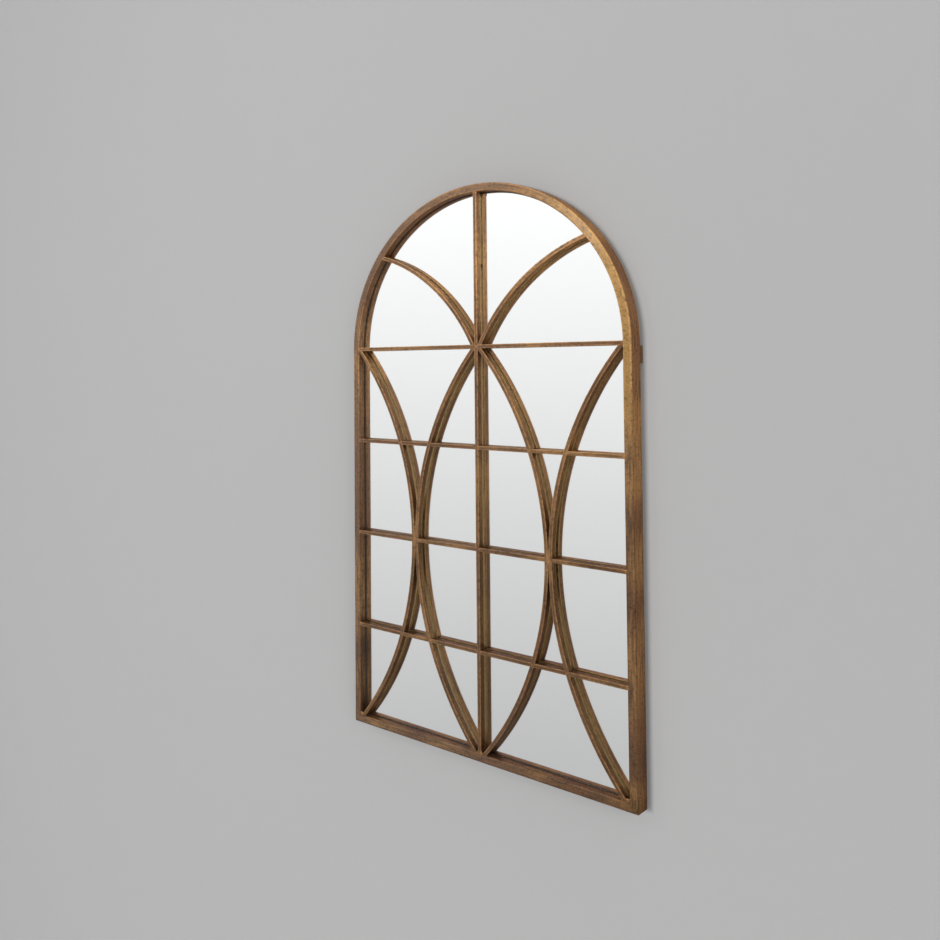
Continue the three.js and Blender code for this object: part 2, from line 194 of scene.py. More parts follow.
LAMPS = {
    "highlight_lamp": {"place": (-0.60, -1.95, 0.93), "aim": (0.36, 0.0, 0.58), "side": 0.2, "watts": 3.0,
                       "shines": True},
    "key_lamp": {"place": (-0.2, -8.8, 0.9), "aim": (0.0, 0.0, 0.0), "side": 1.9, "watts": 520.0,
                 "shines": False},
    "fill_lamp": {"place": (4.2, -3.6, 1.5), "aim": (0.0, 0.0, 0.0), "side": 2.2, "watts": 45.0,
                  "shines": False},
    "top_lamp": {"place": (1.6, -0.7, 3.2), "aim": (0.0, 0.0, 0.3), "side": 1.2, "watts": 12.0,
                 "shines": False},
    "back_lamp": {"place": (1.8, 2.2, 1.6), "aim": (0.0, 0.0, 0.0), "side": 1.8, "watts": 60.0,
                  "shines": False},
    "far_back_lamp": {"place": (-2.2, 3.0, 1.0), "aim": (0.0, 0.0, 0.0), "side": 1.8, "watts": 120.0,
                      "shines": False},
}
for lamp_name, lamp in LAMPS.items():
    data = bpy.data.lights.new(lamp_name, "AREA")
    data.size = lamp["side"]
    data.energy = lamp["watts"]
    lamp_object = bpy.data.objects.new(lamp_name, data)
    lamp_object.location = lamp["place"]
    aim = np.array(lamp["aim"]) - np.array(lamp["place"])
    lamp_object.rotation_euler = Euler((math.atan2(math.hypot(aim[0], aim[1]), -aim[2]), 0.0,
                                        math.atan2(-aim[0], aim[1])))
    lamp_object.visible_glossy = lamp["shines"]
    lamp_object.visible_transmission = False
    bpy.context.scene.collection.objects.link(lamp_object)

# ---------------------------------------------------------------------------------------------------------
# Frame. Rectangular steel tube on edge, rolled to a half circle at the head, mitred at the foot, with its
# welds ground flush, then given a hand-rubbed brown, copper and gold patina under wax, with painted light and
# shade over it.
ARCH_LOW, ARCH_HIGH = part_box("frame_arch")
STILE_LOW, STILE_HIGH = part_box("frame_stile_right")
ARCH_RADIUS = ARCH_HIGH.x
SPRING_Z = ARCH_HIGH.z - ARCH_RADIUS
FRONT_Y = ARCH_LOW.y
FRAME_DEPTH = ARCH_HIGH.y - ARCH_LOW.y
FRAME_FACE = STILE_HIGH.x - STILE_LOW.x
FRAME_CORNER = 0.0026
SILL_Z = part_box("frame_bottom_rail")[0].z
OPENING_RADIUS = ARCH_RADIUS - FRAME_FACE
RAIL_TOP_Z = SILL_Z + FRAME_FACE
WEAR_WIDTH = 0.0016
STEP_LENGTH = 0.008
# Colour of the painted golden sheen on the frame's fronts near the head on the right.
HEAD_SHEEN_GOLD = (180, 141, 82)


def linear(red, green, blue):
    """Linear colour, with alpha, of an sRGB colour given in 0..255."""
    c = np.array([red, green, blue]) / 255.0
    c = np.where(c <= 0.04045, c / 12.92, ((c + 0.055) / 1.055) ** 2.4)
    return (*c.tolist(), 1.0)


def rounded_section(across, depth, corner, columns, arc_steps=4):
    """Closed section (w, y, marks) of a bar, w across its face from -across/2 and y inwards from its front:
    a rectangle with its corners replaced by quarter circles. Each quarter circle is stepped evenly, each
    flat face has a column one wear width in from each corner and even columns between. The marks are wear,
    1 on the quarter circles; flank, 1 on the two sides; and rear, 1 on the face away from the front."""
    half = across / 2
    quarter = np.linspace(0.0, math.pi / 2, arc_steps + 1)
    inner = np.array([half - corner, depth / 2 - corner])
    points, wear, flank, rear = [], [], [], []
    face_lengths = (depth - 2 * corner, across - 2 * corner, depth - 2 * corner, across - 2 * corner)
    for k in range(4):
        angle = quarter + k * math.pi / 2
        centre = inner * np.array([(1, 1), (-1, 1), (-1, -1), (1, -1)][k])
        arc = centre + corner * np.stack([np.cos(angle), np.sin(angle)], -1)
        points.append(arc)
        wear.append(np.ones(len(arc)))
        flank.append(np.full(len(arc), 0.5))
        rear.append(np.full(len(arc), 0.5 if k < 2 else 0.0))
        length = face_lengths[(k + 1) % 4]
        inset = min(WEAR_WIDTH / length, 0.3)
        t = np.concatenate([[inset], np.linspace(inset, 1 - inset, columns + 2)[1:-1], [1 - inset]])[:, None]
        step = np.array([(-1, 0), (0, -1), (1, 0), (0, 1)][k])
        points.append(arc[-1] + step * length * t)
        wear.append(np.zeros(len(t)))
        flank.append(np.full(len(t), float(k % 2)))
        rear.append(np.full(len(t), float(k == 0)))
    section = np.concatenate(points)
    marks = np.stack([np.concatenate(wear), np.concatenate(flank), np.concatenate(rear)])
    return section[:, 0], section[:, 1] + depth / 2, marks


def swept_faces(rows, columns, closed):
    """Quads of a grid of rows by columns whose columns close on themselves, and whose rows do too if
    closed, and the two many-sided caps that end an open sweep."""
    r = np.arange(rows if closed else rows - 1)[:, None]
    c = np.arange(columns)[None, :]
    following = ((r + 1) % rows) * columns
    beside = (c + 1) % columns
    quads = np.stack([r * columns + c, r * columns + beside, following + beside, following + c], -1)
    ring = np.arange(columns)
    caps = [] if closed else [ring[::-1], (rows - 1) * columns + ring]
    return quads.reshape(-1, 4), caps


def steel_piece(name, sweeps, material, nodes=()):
    """Makes one mesh of several sweeps, each (x, y, z, marks, along, around, closed) as grids of rows by
    columns. Along and around, in metres, become the UV map, and the marks point attributes. Faces are
    turned outwards by the sign of the volume that they enclose, which is a sixth of the sum, over their
    triangles, of the first corner dotted with the cross product of the other two."""
    points, faces, all_marks, coordinates = [], [], [], []
    first = 0
    for x, y, z, marks, along, around, closed in sweeps:
        rows, columns = x.shape
        flat = np.stack([x, y, z], -1).reshape(-1, 3)
        quads, caps = swept_faces(rows, columns, closed)
        p0, p1, p2, p3 = (flat[quads] - flat.mean(0)).transpose(1, 0, 2)
        if (p0 * (np.cross(p1, p2) + np.cross(p2, p3))).sum() < 0:
            quads = quads[:, ::-1]
            caps = [cap[::-1] for cap in caps]
        faces += (quads + first).tolist() + [(cap + first).tolist() for cap in caps]
        points.append(flat)
        all_marks.append(np.broadcast_to(marks[:, None, :], (3, rows, columns)).reshape(3, -1))
        runs = [np.broadcast_to(along, x.shape), np.broadcast_to(around, x.shape)]
        coordinates.append(np.stack(runs, -1).reshape(-1, 2))
        first += rows * columns
    mesh = bpy.data.meshes.new(name)
    mesh.from_pydata(np.concatenate(points).tolist(), [], faces)
    for mark, values in zip(("wear", "flank", "rear"), np.concatenate(all_marks, 1)):
        mesh.attributes.new(mark, "FLOAT", "POINT").data.foreach_set("value", np.ascontiguousarray(values))
    corner_points = np.empty(len(mesh.loops), int)
    mesh.loops.foreach_get("vertex_index", corner_points)
    layer = mesh.uv_layers.new(name="along_around")
    layer.data.foreach_set("uv", np.concatenate(coordinates)[corner_points].reshape(-1))
    mesh.materials.append(material)
    mesh.shade_smooth()
    mesh.set_sharp_from_angle(angle=math.radians(40))
    piece = bpy.data.objects.new(name, mesh)
    bpy.context.scene.collection.objects.link(piece)
    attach(piece, "root")
    if nodes:
        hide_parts(*nodes)


def patina_material(name, browns, copper, gold, olive, dark, edge_wear_and_highlight, rear_light_wash=None, head_sheen=0.0,
                    outer_front_light=0.0, recess=0.0, wax=0.5, dim_heights=(0.10, -0.62), edge_dull=0.0):
    """Rubbed patina: brown that drifts warmer and cooler over a hand's width, brushed along each bar with
    streaks of copper, gold and olive, mottled finely, darker in its pits and wearing to gold on its edges,
    with painted light and shade over it. Edge wear and highlight is the gold of the edges at the foot and
    at the head, where on the right it is partly a painted highlight; rear light wash the pale colour painted
    over the faces towards the glass, painted light in the shaded gap there; head sheen the painted golden
    sheen on the fronts near the head on the right; outer front light how far the outer sides stay bright
    next to the front under the painted shade of the sides; recess how far painted shade darkens the inner
    sides towards the glass; wax the weight of the clear coat on the fronts; dim heights where the painted
    shade starts to darken the sides on their way down and where they are darkest; and edge dull how much
    darker the edges are below the head."""
    material, tree, output = blank_material(name)
    place = node_chain(tree, "ShaderNodeTexCoord").outputs["Object"]
    run = node_chain(tree, "ShaderNodeUVMap", uv_map="along_around").outputs[0]
    wear = node_chain(tree, "ShaderNodeAttribute", attribute_name="wear").outputs["Fac"]
    flank = node_chain(tree, "ShaderNodeAttribute", attribute_name="flank").outputs["Fac"]
    rear = node_chain(tree, "ShaderNodeAttribute", attribute_name="rear").outputs["Fac"]
    across, inward, rise = node_chain(tree, "ShaderNodeSeparateXYZ", {0: place}).outputs

    def plus(a, b):
        """Sum of two sockets or numbers."""
        return maths(tree, "ADD", a, b)

    def minus(a, b):
        """First of two sockets or numbers less the second."""
        return maths(tree, "SUBTRACT", a, b)

    def times(*factors):
        """Product of sockets and numbers, taken from the left."""
        product = factors[0]
        for factor in factors[1:]:
            product = maths(tree, "MULTIPLY", product, factor)
        return product

    def clouds(vector, scale, detail, roughness=0.55):
        """A noise's strength, from 0 to 1, whose cells are about 1/scale metres wide."""
        settings = {"Vector": vector, "Scale": scale, "Detail": detail, "Roughness": roughness}
        return node_chain(tree, "ShaderNodeTexNoise", settings).outputs[0]

    def brushed(along_scale, around_scale, detail):
        """Clouds drawn out along the bar."""
        stretch = {"Vector": run, "Scale": (along_scale, around_scale, 1.0)}
        return clouds(node_chain(tree, "ShaderNodeMapping", stretch).outputs[0], 1.0, detail)

    def spread(value, low, high):
        """Value stretched so that low becomes 0 and high becomes 1, and held between them."""
        limits = {"Value": value, "From Min": low, "From Max": high}
        return node_chain(tree, "ShaderNodeMapRange", limits).outputs[0]

    def blend(share, first, second):
        """Two colours mixed by a share."""
        node = tree.nodes.new("ShaderNodeMix")
        node.data_type = "RGBA"
        for socket, value in zip((node.inputs[0], node.inputs[6], node.inputs[7]), (share, first, second)):
            if isinstance(value, bpy.types.NodeSocket):
                tree.links.new(value, socket)
            else:
                socket.default_value = value
        return node.outputs[2]

    drift = clouds(place, 7.0, 2.0)
    gilding = clouds(place, 4.5, 1.0)
    mottle = clouds(place, 130.0, 4.0, 0.6)
    fine = clouds(place, 520.0, 3.0, 0.65)
    wide_streaks = brushed(14.0, 190.0, 3.0)
    thin_streaks = brushed(45.0, 620.0, 3.0)
    head = spread(rise, 0.03, 0.22)

    # Colours, from the browns up to what lies over them.
    colour = blend(spread(drift, 0.36, 0.64), linear(*browns[0]), linear(*browns[1]))
    colour = blend(times(spread(wide_streaks, 0.44, 0.68), 0.75), colour, linear(*copper))
    colour = blend(times(spread(thin_streaks, 0.50, 0.72), 0.60), colour, linear(*olive))
    gilt = times(spread(gilding, 0.46, 0.60), spread(wide_streaks, 0.34, 0.56))
    colour = blend(times(gilt, 0.50), colour, linear(*gold))
    # Painted sheen: the fronts near the head on the right turn golden where the light falls on them.
    head_sheen_share = times(spread(across, 0.12, 0.32), head, minus(1.0, flank))
    colour = blend(times(head_sheen_share, head_sheen), colour, linear(*HEAD_SHEEN_GOLD))
    colour = blend(times(spread(mottle, 0.50, 0.30), 0.55), colour, linear(*dark))
    # Gold wear on the edges everywhere, and near the head on the right a painted highlight on them as well.
    edge_highlight_share = times(spread(across, 0.26, 0.36), head, edge_wear_and_highlight[1] - edge_wear_and_highlight[0])
    wear_and_highlight = times(wear, spread(mottle, 0.30, 0.55), plus(edge_highlight_share, edge_wear_and_highlight[0]))
    colour = blend(wear_and_highlight, colour, linear(*gold))
    colour = blend(times(spread(fine, 0.46, 0.30), 0.45), colour, linear(*dark))
    # Painted light: the faces towards the glass washed pale, standing in for light in the shaded gap there.
    if rear_light_wash:
        colour = blend(times(rear, 0.9), colour, linear(*rear_light_wash))

    # Brightness: painted light and shade on the sides, which are lighter than the fronts and lighter still
    # near the head, darker on their way down and deeper in, and lighter at the rail's top; the corner at the
    # foot on the right made darker; the edges darker below the head; and a speckle over all.
    depth_in = spread(inward, FRONT_Y + 0.001, FRONT_Y + 0.040)
    outer = spread(maths(tree, "ABSOLUTE", across), OPENING_RADIUS + 0.006, OPENING_RADIUS + 0.012)
    within = minus(1.0, outer)
    # Painted shade on the outer sides is spared next to the front and full towards the wall.
    shaded = minus(1.0, times(minus(1.0, depth_in), outer, outer_front_light))
    # Painted light and shade on the sides: lighter than the fronts, lighter still near the head and darker on
    # their way down.
    glow = plus(times(spread(rise, 0.24, 0.42), 0.45), 0.75)
    glow = minus(glow, times(spread(rise, *dim_heights), 0.72, shaded))
    # Painted shade: the inner sides darken towards the glass.
    glow = minus(glow, times(within, depth_in, recess))
    # Painted light: the sides at and below the height of the rail's top are lighter.
    ledge = times(within, spread(rise, RAIL_TOP_Z + 0.004, RAIL_TOP_Z + 0.001))
    glow = plus(glow, times(ledge, 0.25))
    level = plus(times(flank, glow), 1.0)
    # The corner at the foot on the right, just above the rail, is made darker.
    darker_foot_corner = times(spread(across, 0.34, 0.39), spread(rise, -0.645, -0.685))
    level = times(level, minus(1.0, times(darker_foot_corner, 0.42)))
    level = times(level, minus(1.0, times(wear, minus(1.0, head), edge_dull)))
    grit = spread(clouds(place, 250.0, 2.0, 0.6), 0.30, 0.70)
    speckle = plus(times(grit, 0.44), 0.78)
    colour = node_chain(tree, "ShaderNodeHueSaturation", {
        "Hue": 0.5, "Saturation": 1.0, "Value": times(level, speckle), "Fac": 1.0,
        "Color": colour}).outputs[0]

    # Surface: a fine relief under wax that thins to the right and hardly reaches the sides.
    dullness = node_chain(tree, "ShaderNodeMapRange", {"Value": mottle, "From Min": 0.3, "From Max": 0.7,
                                                       "To Min": 0.46, "To Max": 0.34}).outputs[0]
    relief = plus(times(fine, 0.5), mottle)
    bump = node_chain(tree, "ShaderNodeBump", {"Height": relief, "Strength": 0.3, "Distance": 0.0004})
    thinned = minus(1.0, times(spread(across, 0.0, 0.36), 0.7))
    bare = maths(tree, "MAXIMUM", times(flank, 0.85), rear)
    waxed = times(minus(1.0, bare), thinned, wax)
    steel = node_chain(tree, "ShaderNodeBsdfPrincipled", {
        "Base Color": colour, "Roughness": dullness, "Metallic": 0.7, "Specular IOR Level": 0.2,
        "Specular Tint": linear(150, 120, 90), "Normal": bump.outputs[0], "Coat Roughness": 0.20,
        "Coat Weight": waxed})
    tree.links.new(steel.outputs[0], output.inputs["Surface"])
    return material


# The frame's patina carries painted light: a golden sheen and an edge highlight near the head on the right,
# and light and shade on its sides.
FRAME_PATINA = patina_material("frame_patina", browns=((96, 71, 53), (114, 85, 62)), copper=(142, 98, 66),
                               gold=(178, 136, 86), olive=(100, 86, 58), dark=(62, 45, 33),
                               edge_wear_and_highlight=(0.10, 0.55), head_sheen=0.66, outer_front_light=0.85, recess=0.35, wax=0.9,
                               edge_dull=0.3)


def arched_outline(inset):
    """Closed outlines, one column for each inset from the frame's outer side: up the right stile, round the
    half circle, down the left stile and back along the sill, so that corners meet on their mitres. Returns
    grids x and z and the way along."""
    stile_rows = int((SPRING_Z - SILL_Z) / STEP_LENGTH)
    arch_rows = int(math.pi * ARCH_RADIUS / STEP_LENGTH)
    rail_rows = int(2 * ARCH_RADIUS / STEP_LENGTH)
    up = np.linspace(0, 1, stile_rows, endpoint=False)[:, None]
    turn = np.linspace(0, math.pi, arch_rows, endpoint=False)[:, None]
    across = np.linspace(0, 1, rail_rows, endpoint=False)[:, None]
    radius = (ARCH_RADIUS - inset)[None, :]
    foot = (SILL_Z + inset)[None, :]
    x = np.concatenate([radius + 0 * up, radius * np.cos(turn), -radius + 0 * up, radius * (2 * across - 1)])
    z = np.concatenate([foot + (SPRING_Z - foot) * up, SPRING_Z + radius * np.sin(turn),
                        SPRING_Z + (foot - SPRING_Z) * up, foot + 0 * across])
    steps = np.hypot(np.diff(x.mean(1), prepend=x.mean(1)[0]), np.diff(z.mean(1), prepend=z.mean(1)[0]))
    return x, z, np.cumsum(steps)[:, None]


def distance_round(w, y):
    """Way along a section's outline from its first point, adding up the straight steps."""
    return np.cumsum(np.hypot(np.diff(w, prepend=w[0]), np.diff(y, prepend=y[0])))


def frame_sweep():
    """The tube's skin: its rounded section carried round the arched outline. Its back is waxed as its front
    is, so the rear mark is taken off."""
    w, y, marks = rounded_section(FRAME_FACE, FRAME_DEPTH, FRAME_CORNER, 3)
    marks[2] = 0.0
    x, z, along = arched_outline(w + FRAME_FACE / 2)
    return x, np.broadcast_to(FRONT_Y + y, x.shape), z, marks, along, distance_round(w, y)[None, :], True


steel_piece("frame_tube", [frame_sweep()], FRAME_PATINA,
            ("frame_arch", "frame_stile_left", "frame_stile_right", "frame_bottom_rail"))

# ---------------------------------------------------------------------------------------------------------
# Grille. Flat steel bar, its edges eased, welded flush with the frame's front: a centre bar, cross bars
# that stop at the arcs, four long arcs touching in pairs, and two crown arcs that fan from the hub.
CENTRE_LOW, CENTRE_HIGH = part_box("centre_bar")
BAR_FACE = CENTRE_HIGH.x - CENTRE_LOW.x
BAR_DEPTH = CENTRE_HIGH.y - CENTRE_LOW.y
HALF_BAR = BAR_FACE / 2
BAR_CORNER = 0.0009
KISS_GAP = 0.0003
KISS_X = (HALF_BAR + OPENING_RADIUS) / 2
RAIL_MIDDLE_Z = SILL_Z + FRAME_FACE / 2
CROWN_FOOT_OFFSET = 0.0040
CROWN_FOOT_X = HALF_BAR + CROWN_FOOT_OFFSET
CROWN_TIP_ANGLE = math.radians(39.5)
CROWN_BOW = 0.0386


def middle_height(node):
    """Height of the middle of a solid's box."""
    low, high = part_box(node)
    return (low.z + high.z) / 2


SPRING_BAR_Z = middle_height("spring_bar_right")
UPPER_Z = middle_height("upper_bar_right")
MIDDLE_Z = middle_height("middle_bar_right_inner")
LOWER_Z = middle_height("lower_bar_right")

# The grille's patina carries painted light: pale faces towards the glass in the shaded gap, and light and
# shade on the sides.
GRILLE_PATINA = patina_material("grille_patina", browns=((96, 72, 54), (114, 86, 64)), copper=(146, 98, 66),
                                gold=(178, 136, 88), olive=(100, 88, 58), dark=(60, 44, 32),
                                edge_wear_and_highlight=(0.65, 0.65), rear_light_wash=(216, 178, 120), dim_heights=(0.30, -0.25))


def bar_section(columns=3):
    """Section of every bar of the grille, with the distance round it."""
    w, y, marks = rounded_section(BAR_FACE, BAR_DEPTH, BAR_CORNER, columns, 3)
    return w, y, marks, distance_round(w, y)


def circle_of(start, apex, end):
    """Centre and radius of the circle through three points, apex being half way along the arc."""
    start, apex, end = np.array(start), np.array(apex), np.array(end)
    middle = (start + end) / 2
    rise = np.linalg.norm(apex - middle)
    half_chord = np.linalg.norm(end - start) / 2
    radius = (half_chord ** 2 + rise ** 2) / (2 * rise)
    return apex + (middle - apex) / rise * radius, radius


APEX_SHIFT = (BAR_FACE + KISS_GAP) / 2
KISS_Z = (SPRING_Z + RAIL_MIDDLE_Z) / 2
LOWER_ARCS = {
    kind: circle_of((end_x, SPRING_Z), (KISS_X + shift, KISS_Z), (end_x, RAIL_MIDDLE_Z))
    for kind, end_x, shift in (("inner", HALF_BAR, -APEX_SHIFT), ("outer", OPENING_RADIUS, APEX_SHIFT))
}


def arc_side_x(kind, offset, z):
    """x, on the right half, of the line that runs beside a lower arc's centre line at an offset away from
    its circle's centre: the centre's x plus or minus the root of radius squared less height squared."""
    (cx, cz), radius = LOWER_ARCS[kind]
    reach = np.sqrt((radius + offset) ** 2 - (z - cz) ** 2)
    return cx + reach if kind == "inner" else cx - reach


def straight_sweep(x, z, length):
    """One straight length: x and z are grids of two rows at its ends, filled in evenly between them."""
    y, marks, around = bar_section()[1:]
    rows = max(3, int(length / STEP_LENGTH))
    t = np.linspace(0, 1, rows)[:, None]
    x = x[0] + (x[1] - x[0]) * t
    z = z[0] + (z[1] - z[0]) * t
    return x, np.broadcast_to(FRONT_Y + y, x.shape), z, marks, length * t, around[None, :], False


def centre_sweep():
    """The centre bar, from the bottom rail up to the inner side of the arch, whose height above the spring
    line at w is the root of the opening's radius squared less w squared."""
    w = bar_section()[0]
    top = SPRING_Z + np.sqrt(OPENING_RADIUS ** 2 - w ** 2)
    bottom = np.full_like(w, RAIL_TOP_Z)
    return straight_sweep((w, w), (bottom, top), top.max() - RAIL_TOP_Z)


ARC_SIDES = {"inner_near": ("inner", -HALF_BAR), "inner_far": ("inner", HALF_BAR),
             "outer_near": ("outer", HALF_BAR), "outer_far": ("outer", -HALF_BAR)}
WHOLE_SPAN = [("centre_bar", "stile")]
CROSSED_SPANS = [("centre_bar", "inner_near"), ("inner_far", "outer_near"), ("outer_far", "stile")]
KISSED_SPANS = [("centre_bar", "inner_near"), ("outer_far", "stile")]


def stop_x(stop, z):
    """x, on the right half, where a cross bar's lines at heights z stop: at the centre bar, at the stile, or
    at the side of an arc that is near to or far from the centre bar."""
    if stop in ARC_SIDES:
        return arc_side_x(*ARC_SIDES[stop], z)
    return np.full_like(z, HALF_BAR if stop == "centre_bar" else OPENING_RADIUS)


def cross_sweeps(sign, z_middle, spans):
    """The lengths of a cross bar on the side that sign gives, each from one stop of its span to the other."""
    z = z_middle + bar_section()[0]
    sweeps = []
    for start, end in spans:
        x0, x1 = sign * stop_x(start, z), sign * stop_x(end, z)
        sweeps.append(straight_sweep((x0, x1), (z, z), float(np.abs(x1 - x0).mean())))
    return sweeps


def lower_arc_sweep(sign, kind):
    """A lower arc: each line along it is a circle about one centre, from where it leaves the spring bar or
    the upright beside it to where it meets the rail or that upright."""
    w, y, marks, around = bar_section(5)
    (cx, cz), radius = LOWER_ARCS[kind]
    line = radius + w
    side_x = HALF_BAR if kind == "inner" else OPENING_RADIUS
    reach = np.arccos(np.clip(np.abs(side_x - cx) / line, -1, 1))
    top = np.minimum(reach, np.arcsin((SPRING_BAR_Z - HALF_BAR - cz) / line))
    bottom = np.minimum(reach, np.arcsin((cz - RAIL_TOP_Z) / line))
    rows = int(2 * reach.max() * radius / STEP_LENGTH)
    t = np.linspace(0, 1, rows)[:, None]
    angle = top - (top + bottom) * t
    towards = 1 if kind == "inner" else -1
    x = sign * (cx + towards * line * np.cos(angle))
    z = cz + line * np.sin(angle)
    return (x, np.broadcast_to(FRONT_Y + y, x.shape), z, marks, radius * (top.mean() + bottom.mean()) * t,
            around[None, :], False)


def crown_arc_sweep(sign):
    """A crown arc: each line along it is a circle about one centre, from the spring bar's top up to the
    inner side of the arch. A line's end there is where its circle crosses the arch's: with d between the
    two centres, its angle from the line of centres has cosine (d^2 + line^2 - opening^2) / (2 d line)."""
    w, y, marks, around = bar_section(5)
    foot = np.array([CROWN_FOOT_X, 0.0])
    tip = OPENING_RADIUS * np.array([math.cos(CROWN_TIP_ANGLE), math.sin(CROWN_TIP_ANGLE)])
    chord = (tip - foot) / np.linalg.norm(tip - foot)
    apex = (foot + tip) / 2 + CROWN_BOW * np.array([-chord[1], chord[0]])
    centre, radius = circle_of(foot, apex, tip)
    line = radius + w
    start = math.pi - np.arcsin((HALF_BAR - centre[1]) / line)
    distance = np.linalg.norm(centre)
    towards_hub = math.atan2(-centre[1], -centre[0])
    cosine = (distance ** 2 + line ** 2 - OPENING_RADIUS ** 2) / (2 * distance * line)
    end = towards_hub - np.arccos(cosine)
    rows = int((start - end).max() * radius / STEP_LENGTH)
    t = np.linspace(0, 1, rows)[:, None]
    angle = start + (end - start) * t
    x = sign * (centre[0] + line * np.cos(angle))
    z = SPRING_Z + centre[1] + line * np.sin(angle)
    return (x, np.broadcast_to(FRONT_Y + y, x.shape), z, marks, radius * (start - end).mean() * t,
            around[None, :], False)


steel_piece("centre_upright", [centre_sweep()], GRILLE_PATINA, ("centre_bar",))
for side, sign in (("left", -1), ("right", 1)):
    steel_piece(f"spring_rail_{side}", cross_sweeps(sign, SPRING_BAR_Z, WHOLE_SPAN), GRILLE_PATINA,
                (f"spring_bar_{side}",))
    for level, z_middle in (("upper", UPPER_Z), ("lower", LOWER_Z)):
        steel_piece(f"{level}_rail_{side}", cross_sweeps(sign, z_middle, CROSSED_SPANS), GRILLE_PATINA,
                    (f"{level}_bar_{side}",))
    steel_piece(f"middle_rail_{side}", cross_sweeps(sign, MIDDLE_Z, KISSED_SPANS), GRILLE_PATINA,
                (f"middle_bar_{side}_inner", f"middle_bar_{side}_outer"))
    for kind in ("inner", "outer"):
        steel_piece(f"{kind}_bow_{side}", [lower_arc_sweep(sign, kind)], GRILLE_PATINA,
                    (f"{kind}_arc_{side}",))
    steel_piece(f"crown_bow_{side}", [crown_arc_sweep(sign)], GRILLE_PATINA, (f"crown_arc_{side}",))

# ---------------------------------------------------------------------------------------------------------
# Welds. Small lumpy beads of bronze-coloured filler, rubbed down almost flush, where bars cross, touch and
# meet the frame; the largest fills the crotches of the eight bars at the hub.
WELD_LIFT = 0.0002
# Reach across the face and height of each weld.
HUB_WELD = (0.0105, 0.0030)
CROWN_WELD = (0.0065, 0.0016)
FOOT_WELD = (0.0080, 0.0024)
KISS_WELD = (0.0080, 0.0020)
CORNER_WELD = (0.0050, 0.0010)
SPRING_WELD = (0.0065, 0.0018)
CROWN_ARC_WELD = (0.0062, 0.0016)
STILE_WELD = (0.0050, 0.0010)
UPRIGHT_WELD = (0.0048, 0.0010)
CROSSING_WELD = (0.0058, 0.0013)
CROWN_WELD_DROP = 0.0005
FOOT_WELD_RISE = 0.0015
CORNER_WELD_INSET = 0.0030
CORNER_WELD_RISE = 0.0040
SPRING_WELD_INSET = 0.0020
WELD_TURN = 1.3


def weld_blob(x_middle, z_middle, radius, height, turn):
    """A lumpy flattened ball, open only at its tiny capped poles: its reach in the face's plane is the
    radius times the sine of the polar angle, swelling and shrinking three and five times a turn, and its
    depth runs with the cosine of that angle from just proud of the face."""
    polar = np.linspace(0.1, math.pi - 0.1, 12)[:, None]
    spin = np.linspace(0.0, 2 * math.pi, 28, endpoint=False)[None, :]
    swell = 1 + 0.11 * np.cos(3 * spin + turn) + 0.06 * np.cos(5 * spin + 2.3 * turn)
    reach = radius * swell * np.sin(polar)
    ripple = 1 + 0.05 * np.cos(4 * spin + turn) * np.sin(polar) ** 2
    depth = height - WELD_LIFT - height * ripple * np.cos(polar)
    marks = np.stack([0.5 + 0.5 * np.cos(4 * spin[0] + 1.7 * turn), 0.0 * spin[0], 0.0 * spin[0]])
    return (x_middle + reach * np.cos(spin), FRONT_Y + depth, z_middle + reach * np.sin(spin), marks,
            radius * spin, radius * polar, False)


WELD_PATINA = patina_material("weld_patina", browns=((118, 82, 56), (140, 98, 66)), copper=(176, 118, 78),
                              gold=(196, 148, 94), olive=(124, 98, 64), dark=(74, 50, 34),
                              edge_wear_and_highlight=(0.5, 0.5))
CROWN_TIP_X = OPENING_RADIUS * math.cos(CROWN_TIP_ANGLE)
CROWN_TIP_Z = SPRING_Z + OPENING_RADIUS * math.sin(CROWN_TIP_ANGLE)
weld_spots = [(0.0, SPRING_BAR_Z, *HUB_WELD),
              (0.0, SPRING_Z + OPENING_RADIUS - CROWN_WELD_DROP, *CROWN_WELD),
              (0.0, RAIL_TOP_Z + FOOT_WELD_RISE, *FOOT_WELD)]
for sign in (-1, 1):
    weld_spots += [
        (sign * KISS_X, MIDDLE_Z, *KISS_WELD),
        (sign * (OPENING_RADIUS - CORNER_WELD_INSET), RAIL_TOP_Z + CORNER_WELD_RISE, *CORNER_WELD),
        (sign * (OPENING_RADIUS - SPRING_WELD_INSET), SPRING_BAR_Z - SPRING_WELD_INSET, *SPRING_WELD),
        (sign * CROWN_TIP_X, CROWN_TIP_Z, *CROWN_ARC_WELD)]
    for z_middle in (UPPER_Z, MIDDLE_Z, LOWER_Z):
        weld_spots += [(sign * OPENING_RADIUS, z_middle, *STILE_WELD),
                       (sign * HALF_BAR, z_middle, *UPRIGHT_WELD)]
    for z_middle in (UPPER_Z, LOWER_Z):
        for kind in ("inner", "outer"):
            weld_spots.append((sign * arc_side_x(kind, 0.0, z_middle), z_middle, *CROSSING_WELD))
steel_piece("weld_beads", [weld_blob(*spot, WELD_TURN * i) for i, spot in enumerate(weld_spots)], WELD_PATINA)

# ---------------------------------------------------------------------------------------------------------
# Glass. One sheet of clear float glass, silvered and painted grey on its back. Small moulded rubber pads keep
# it off the bars, a bead of dark sealant fills the corner round its edge, and a sheet of brown hardboard
# backs it.
GLASS_LOW, GLASS_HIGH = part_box("mirror_glass")
SILVER_Y = (GLASS_LOW.y + GLASS_HIGH.y) / 2


def dress(node, material):
    """Puts one material on a CAD node."""
    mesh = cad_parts[node].data
    mesh.materials.clear()
    mesh.materials.append(material)


